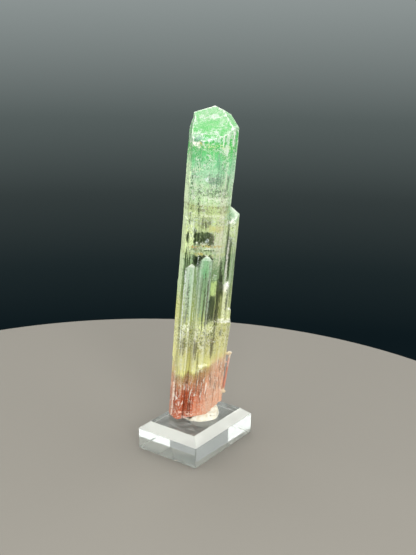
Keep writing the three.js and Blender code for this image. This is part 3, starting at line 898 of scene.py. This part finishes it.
def acrylic_material():
    """Faces are told apart by their tilt: none on the sides, one on the top and the underside."""
    tree = Tree("cast_acrylic")
    local = tree.place(Matrix.Identity(4))
    normal = tree.add("ShaderNodeNewGeometry").outputs["Normal"]
    tilt = tree.math("ABSOLUTE", tree.add("ShaderNodeSeparateXYZ", Vector=normal).outputs["Z"])
    # Bevels are paler and less clear: a painted reflection of the lights
    bevel = tree.times(tree.smooth(tilt, 0.2, 0.4), tree.smooth(tilt, 0.95, 0.85))
    scratches = tree.noise(tree.stretched(local, SCUFF_WAVES), 1.0, 4)
    height = tree.add("ShaderNodeSeparateXYZ", Vector=local).outputs["Z"]
    near_top = tree.smooth(height, BASE_HEIGHT - 1, BASE_HEIGHT - 0.4)
    scuffs = tree.times(near_top, tree.smooth(scratches, 0.5, 0.64))
    scuffs = tree.times(scuffs, tree.smooth(tilt, 0.95, 0.99))
    flat = tree.smooth(tilt, 0.1, 0.2, SIDE_CLEAR, TOP_CLEAR)
    clear = tree.smooth(bevel, 0, 1, flat, BEVEL_CLEAR)
    return tree.finish(
        Base_Color=tree.mix(bevel, srgb(*ACRYLIC), srgb(*ACRYLIC_BEVEL_SHEEN)),
        Transmission_Weight=tree.plus(clear, tree.times(scuffs, SCUFF_LOSS)),
        IOR=ACRYLIC_IOR,
        Roughness=tree.smooth(tree.noise(local, 0.8, 4), 0.5, 0.75, 0.0, 0.05),
    )


# Putty: sRGB, waves per mm of its stains and of its grain, depth of the grain in mm
PUTTY = (238, 235, 220)
PUTTY_STAIN = (222, 214, 190)
STAIN_WAVES = 0.7
PUTTY_GRAIN_WAVES = 2.4
PUTTY_GRAIN = 0.3


def putty_material():
    tree = Tree("mounting_putty_white")
    local = tree.place(Matrix.Identity(4))
    clouds = tree.noise(local, STAIN_WAVES, 4)
    return tree.finish(
        Base_Color=tree.mix(tree.smooth(clouds, 0.35, 0.7), srgb(*PUTTY), srgb(*PUTTY_STAIN)),
        Roughness=tree.smooth(clouds, 0.3, 0.7, 0.65, 0.9),
        Normal=tree.bump(tree.noise(local, PUTTY_GRAIN_WAVES, 5), PUTTY_GRAIN),
    )


# Geometry

def fresh_copy(node):
    """A bmesh of a node's solid with its doubles joined."""
    bm = bmesh.new()
    bm.from_mesh(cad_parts[node].data)
    bmesh.ops.remove_doubles(bm, verts=bm.verts, dist=JOINED * MM)
    bmesh.ops.recalc_face_normals(bm, faces=bm.faces)
    return bm


def parts_of(faces):
    """Faces with their edges and corners."""
    edges = {edge for face in faces for edge in face.edges}
    return list({vert for edge in edges for vert in edge.verts}) + list(edges) + faces


def slice_along(bm, matrix, slices, chosen=None):
    """Cuts the faces, or only the chosen ones, by planes square to the frame's last axis."""
    level, stop, step = slices
    axis = (matrix.to_3x3() @ Vector((0, 0, 1))).normalized()
    while level < stop:
        geom = bm.verts[:] + bm.edges[:] + bm.faces[:]
        if chosen:
            geom = parts_of([face for face in bm.faces if chosen(face)])
        point = (matrix @ Vector((0, 0, level))) * MM
        bmesh.ops.bisect_plane(bm, geom=geom, dist=ON_PLANE * MM, plane_co=point, plane_no=axis)
        level += step


def shade(bm, degrees):
    """Smooth shading with every crease over the limit kept sharp."""
    limit = math.radians(degrees)
    for edge in bm.edges:
        edge.smooth = edge.calc_face_angle(0) < limit
    for face in bm.faces:
        face.smooth = True


def displace(bm, relief):
    """Moves every point along its normal by the relief at its place, both in mm."""
    bm.normal_update()
    for vert in bm.verts:
        vert.co += vert.normal * (relief(vert.co / MM) * MM)


def finish_piece(bm, name, material, node):
    mesh = bpy.data.meshes.new(name)
    bm.to_mesh(mesh)
    bm.free()
    mesh.materials.append(material)
    piece = bpy.data.objects.new(name, mesh)
    scene.collection.objects.link(piece)
    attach(piece, "root")
    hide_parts(node)


# Crystal

def rim_share(edge):
    """How much painted highlight an edge gets: on the tip, on ends, on the front crystals and on the side
    crystals.
    """
    share = rise(math.degrees(edge.calc_face_angle_signed(0)), *RIM_TURN)
    first, second = (vert.co for vert in edge.verts)
    middle = TO_CLUSTER @ ((first + second) / (2 * MM))
    if not share or middle.z < RIM_LOWEST:
        return 0
    turn = TO_CLUSTER.to_3x3()
    least = min((turn @ face.normal).z for face in edge.link_faces)
    steep = abs((turn @ (first - second)).normalized().z)
    if middle.z > TIP:
        return share if least > END_FACE or steep > TIP_RIDGE else share * TIP_FOLD_RIM
    if middle.y < FRONT_CRYSTALS:
        return share * FRONT_RIM
    if least > END_FACE or middle.x > SIDE_CRYSTALS:
        return share * (UPRIGHT_RIM if steep > UPRIGHT else SIDE_RIM)
    return 0


def mark_rims(bm):
    """Writes how near each point is to an edge with a painted white highlight."""
    rim = bm.verts.layers.float.new("rim")
    edge_highlight = [(edge, rim_share(edge)) for edge in bm.edges if len(edge.link_faces) == 2]
    for edge, share in edge_highlight:
        for vert in edge.verts:
            vert[rim] = max(vert[rim], share)


def widen_twins(bm):
    """Spreads the parts of the two front crystals that stand proud, each about its own middle."""
    for vert in bm.verts:
        place = TO_CLUSTER @ (vert.co / MM)
        if place.y >= TWIN_FACE or place.z <= TWIN_FOOT:
            continue
        for old, new, reach, top, growth in TWIN_GROWTH:
            if place.z < top and abs(place.x - old) < reach:
                place.x = new + (place.x - old) * growth
                vert.co = (CLUSTER @ place) * MM
                break


def on_splinter(place):
    (top_x, top_z), (foot_x, foot_z) = SPLINTER
    middle = foot_x + (top_x - foot_x) * (place.z - foot_z) / (top_z - foot_z)
    return (
        foot_z - SPLINTER_SLACK < place.z < top_z + SPLINTER_SLACK
        and place.x > middle - SPLINTER_REACH
        and abs(place.y - SPLINTER_DEPTH) < SPLINTER_HALF
    )


def mark_splinter(bm):
    """Writes which points belong to the thin splinter on the right of the foot."""
    layer = bm.verts.layers.float.new("splinter")
    for vert in bm.verts:
        if on_splinter(TO_CLUSTER @ (vert.co / MM)):
            vert[layer] = 1


def is_tip(face):
    return (TO_CLUSTER @ (face.calc_center_median() / MM)).z > TIP


def crystal_relief(point):
    """Lengthwise striations, fainter over the step, and roughness, deeper on the tip and the foot."""
    place = TO_CLUSTER @ point
    tip = rise(place.z, TIP, TIP + 5)
    foot = rise(place.z, 14, 6)
    plain = min(rise(place.z, STEP - 2, STEP + 8), STRIA_LOSS)
    stria = noise.noise(place * Vector(STRIA_WAVES)) * STRIA_HEIGHT
    rough = noise.fractal(place * ROUGH_WAVES, 1.0, 2.0, 4)
    return stria * (1 - plain) * (1 - tip) + rough * (ROUGH_HEIGHT + ROUGH_AT_ENDS * (tip + foot))


def crystal():
    bm = fresh_copy("tourmaline_crystal")
    bmesh.ops.dissolve_limit(bm, angle_limit=math.radians(FLAT_ANGLE), verts=bm.verts, edges=bm.edges)
    slice_along(bm, CLUSTER, CRYSTAL_SLICES)
    for axis in "YX":
        slice_along(bm, CLUSTER @ turned(90, axis), TIP_SLICES, is_tip)
    bmesh.ops.triangulate(bm, faces=bm.faces)
    shade(bm, CRYSTAL_CREASE)
    mark_rims(bm)
    mark_splinter(bm)
    widen_twins(bm)
    displace(bm, crystal_relief)
    for vert in bm.verts:
        vert.co.z = min(vert.co.z, cad_box[1][2])
    finish_piece(bm, "crystal_body", tourmaline_material(), "tourmaline_crystal")


# Holder

def putty_relief(point):
    """Pressed lumps and small dents, none where the putty meets the block."""
    lumps = noise.fractal(point * LUMP_WAVES, 1.0, 2.0, 3) * LUMP_HEIGHT
    dents = noise.fractal(point * DENT_WAVES, 1.0, 2.0, 2) * DENT_HEIGHT
    return min(lumps + dents, PUTTY_BULGE) * rise(point.z, BASE_HEIGHT, BASE_HEIGHT + PUTTY_RISE)


def putty():
    bm = fresh_copy("mounting_putty")
    slice_along(bm, Matrix.Identity(4), PUTTY_SLICES)
    bmesh.ops.triangulate(bm, faces=bm.faces)
    shade(bm, PUTTY_CREASE)
    displace(bm, putty_relief)
    finish_piece(bm, "putty_lump", putty_material(), "mounting_putty")


def block():
    """The solid keeps its own mesh."""
    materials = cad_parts["acrylic_base"].data.materials
    materials.clear()
    materials.append(acrylic_material())


def make_floor():
    x, y = FLOOR_CENTRE
    bpy.ops.mesh.primitive_cylinder_add(
        vertices=FLOOR_SIDES,
        radius=FLOOR_RADIUS * MM,
        depth=FLOOR_THICKNESS * MM,
        location=(x * MM, y * MM, -(FLOOR_THICKNESS / 2 + FLOOR_GAP) * MM),
    )
    floor = bpy.context.active_object
    floor.name = "floor"
    tone = srgb(*FLOOR_TONE)
    floor.data.materials.append(Tree("pale_floor").finish(Base_Color=tone, Roughness=FLOOR_ROUGHNESS))


make_camera()
for name, values in SOFTBOXES.items():
    softbox(name, *values)
make_surroundings()
let_light_through()
crystal()
block()
putty()
make_floor()
